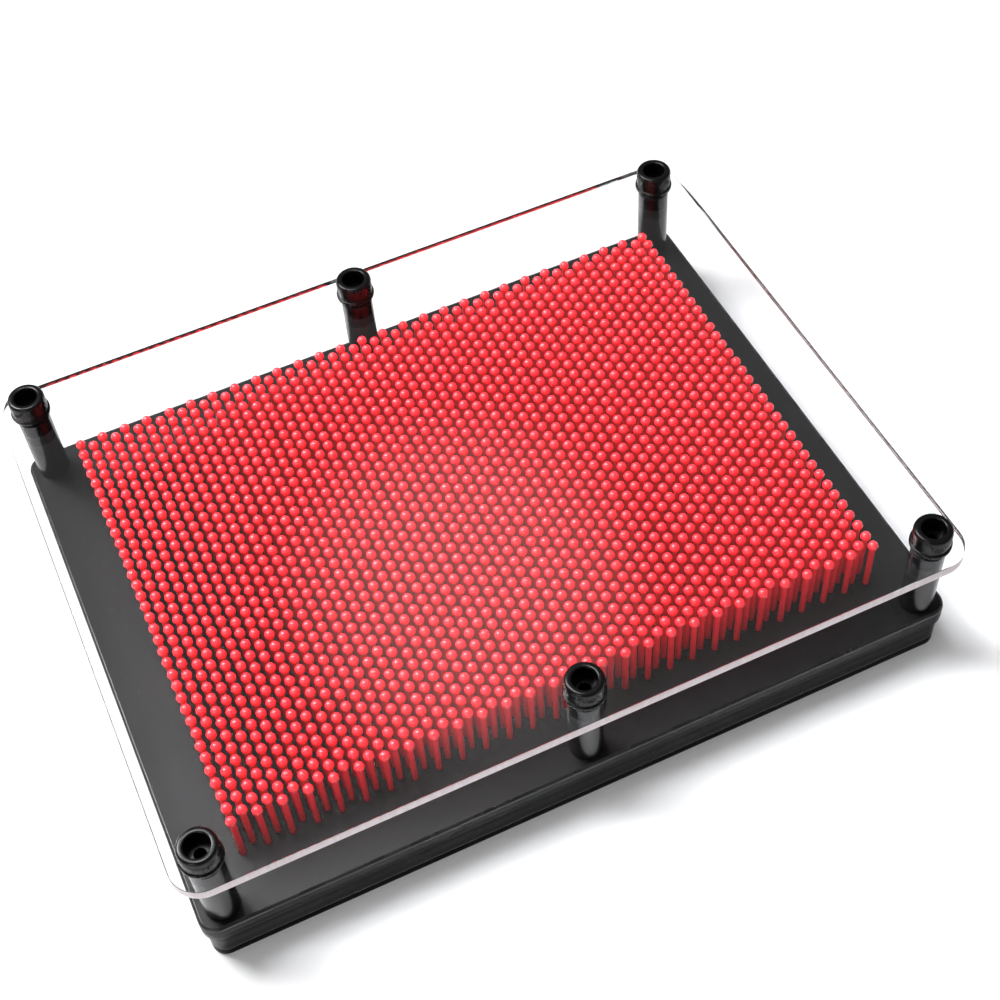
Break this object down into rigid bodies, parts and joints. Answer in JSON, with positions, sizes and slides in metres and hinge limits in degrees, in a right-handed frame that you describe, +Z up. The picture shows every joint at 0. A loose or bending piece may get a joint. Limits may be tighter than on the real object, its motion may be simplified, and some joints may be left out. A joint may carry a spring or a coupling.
{
  "type": "pin art impression toy",
  "caption": "Desk toy lying on its back: a field of sliding ball-headed pins in black guide plates, under a clear front plate on posts.",
  "frame": {"origin": "on the surface the toy lies on, under the middle of the pin field", "axes": "+X along the long side, +Y along the short side towards the back row of posts, +Z up through the clear front plate"},
  "size_m": [0.199, 0.156, 0.0454],
  "materials": {
    "clear_acrylic": "polished clear acrylic",
    "black_plastic": "glossy moulded black plastic",
    "red_pins": "glossy moulded red plastic",
    "zinc_steel": "zinc plated"
  },
  "bodies": {
    "frame": {"front_plate": "clear_acrylic", "cap_back_left": "black_plastic", "cap_back_middle": "black_plastic", "cap_back_right": "black_plastic", "cap_front_left": "black_plastic", "cap_front_middle": "black_plastic", "cap_front_right": "black_plastic", "post_back_left": "black_plastic", "post_back_middle": "black_plastic", "post_back_right": "black_plastic", "post_front_left": "black_plastic", "post_front_middle": "black_plastic", "post_front_right": "black_plastic", "upper_guide_plate": "black_plastic", "lower_guide_plate": "black_plastic", "back_frame": "black_plastic", "post_screws": "zinc_steel"},
    "pins_a1": {"pins_a1_outer": "red_pins", "pins_a1_inner": "red_pins"},
    "pins_a2": {"pins_a2_outer": "red_pins", "pins_a2_inner": "red_pins"},
    "pins_a3": {"pins_a3_outer": "red_pins", "pins_a3_inner": "red_pins"},
    "pins_a4": {"pins_a4_outer": "red_pins", "pins_a4_inner": "red_pins"},
    "pins_b1": {"pins_b1_outer": "red_pins", "pins_b1_inner": "red_pins"},
    "pins_b2": {"pins_b2_outer": "red_pins", "pins_b2_inner": "red_pins"},
    "pins_b3": {"pins_b3_outer": "red_pins", "pins_b3_inner": "red_pins"},
    "pins_b4": {"pins_b4_outer": "red_pins", "pins_b4_inner": "red_pins"},
    "pins_c1": {"pins_c1_outer": "red_pins", "pins_c1_inner": "red_pins"},
    "pins_c2": {"pins_c2_outer": "red_pins", "pins_c2_inner": "red_pins"},
    "pins_c3": {"pins_c3_outer": "red_pins", "pins_c3_inner": "red_pins"},
    "pins_c4": {"pins_c4_outer": "red_pins", "pins_c4_inner": "red_pins"},
    "pins_d1": {"pins_d1_outer": "red_pins", "pins_d1_inner": "red_pins"},
    "pins_d2": {"pins_d2_outer": "red_pins", "pins_d2_inner": "red_pins"},
    "pins_d3": {"pins_d3_outer": "red_pins", "pins_d3_inner": "red_pins"},
    "pins_d4": {"pins_d4_outer": "red_pins", "pins_d4_inner": "red_pins"},
    "pins_e1": {"pins_e1_outer": "red_pins", "pins_e1_inner": "red_pins"},
    "pins_e2": {"pins_e2_outer": "red_pins", "pins_e2_inner": "red_pins"},
    "pins_e3": {"pins_e3_outer": "red_pins", "pins_e3_inner": "red_pins"},
    "pins_e4": {"pins_e4_outer": "red_pins", "pins_e4_inner": "red_pins"}
  },
  "joints": [
    {"name": "pins_a1_slide", "type": "slide", "parent": "frame", "child": "pins_a1", "axis": [0, 0, 1], "range_m": [-0.0136, 0.005]},
    {"name": "pins_a2_slide", "type": "slide", "parent": "frame", "child": "pins_a2", "axis": [0, 0, 1], "range_m": [-0.0136, 0.005]},
    {"name": "pins_a3_slide", "type": "slide", "parent": "frame", "child": "pins_a3", "axis": [0, 0, 1], "range_m": [-0.0136, 0.005]},
    {"name": "pins_a4_slide", "type": "slide", "parent": "frame", "child": "pins_a4", "axis": [0, 0, 1], "range_m": [-0.0136, 0.005]},
    {"name": "pins_b1_slide", "type": "slide", "parent": "frame", "child": "pins_b1", "axis": [0, 0, 1], "range_m": [-0.0136, 0.005]},
    {"name": "pins_b2_slide", "type": "slide", "parent": "frame", "child": "pins_b2", "axis": [0, 0, 1], "range_m": [-0.0136, 0.005]},
    {"name": "pins_b3_slide", "type": "slide", "parent": "frame", "child": "pins_b3", "axis": [0, 0, 1], "range_m": [-0.0136, 0.005]},
    {"name": "pins_b4_slide", "type": "slide", "parent": "frame", "child": "pins_b4", "axis": [0, 0, 1], "range_m": [-0.0136, 0.005]},
    {"name": "pins_c1_slide", "type": "slide", "parent": "frame", "child": "pins_c1", "axis": [0, 0, 1], "range_m": [-0.0136, 0.005]},
    {"name": "pins_c2_slide", "type": "slide", "parent": "frame", "child": "pins_c2", "axis": [0, 0, 1], "range_m": [-0.0136, 0.005]},
    {"name": "pins_c3_slide", "type": "slide", "parent": "frame", "child": "pins_c3", "axis": [0, 0, 1], "range_m": [-0.0136, 0.005]},
    {"name": "pins_c4_slide", "type": "slide", "parent": "frame", "child": "pins_c4", "axis": [0, 0, 1], "range_m": [-0.0136, 0.005]},
    {"name": "pins_d1_slide", "type": "slide", "parent": "frame", "child": "pins_d1", "axis": [0, 0, 1], "range_m": [-0.0136, 0.005]},
    {"name": "pins_d2_slide", "type": "slide", "parent": "frame", "child": "pins_d2", "axis": [0, 0, 1], "range_m": [-0.0136, 0.005]},
    {"name": "pins_d3_slide", "type": "slide", "parent": "frame", "child": "pins_d3", "axis": [0, 0, 1], "range_m": [-0.0136, 0.005]},
    {"name": "pins_d4_slide", "type": "slide", "parent": "frame", "child": "pins_d4", "axis": [0, 0, 1], "range_m": [-0.0136, 0.005]},
    {"name": "pins_e1_slide", "type": "slide", "parent": "frame", "child": "pins_e1", "axis": [0, 0, 1], "range_m": [-0.0136, 0.005]},
    {"name": "pins_e2_slide", "type": "slide", "parent": "frame", "child": "pins_e2", "axis": [0, 0, 1], "range_m": [-0.0136, 0.005]},
    {"name": "pins_e3_slide", "type": "slide", "parent": "frame", "child": "pins_e3", "axis": [0, 0, 1], "range_m": [-0.0136, 0.005]},
    {"name": "pins_e4_slide", "type": "slide", "parent": "frame", "child": "pins_e4", "axis": [0, 0, 1], "range_m": [-0.0136, 0.005]}
  ]
}
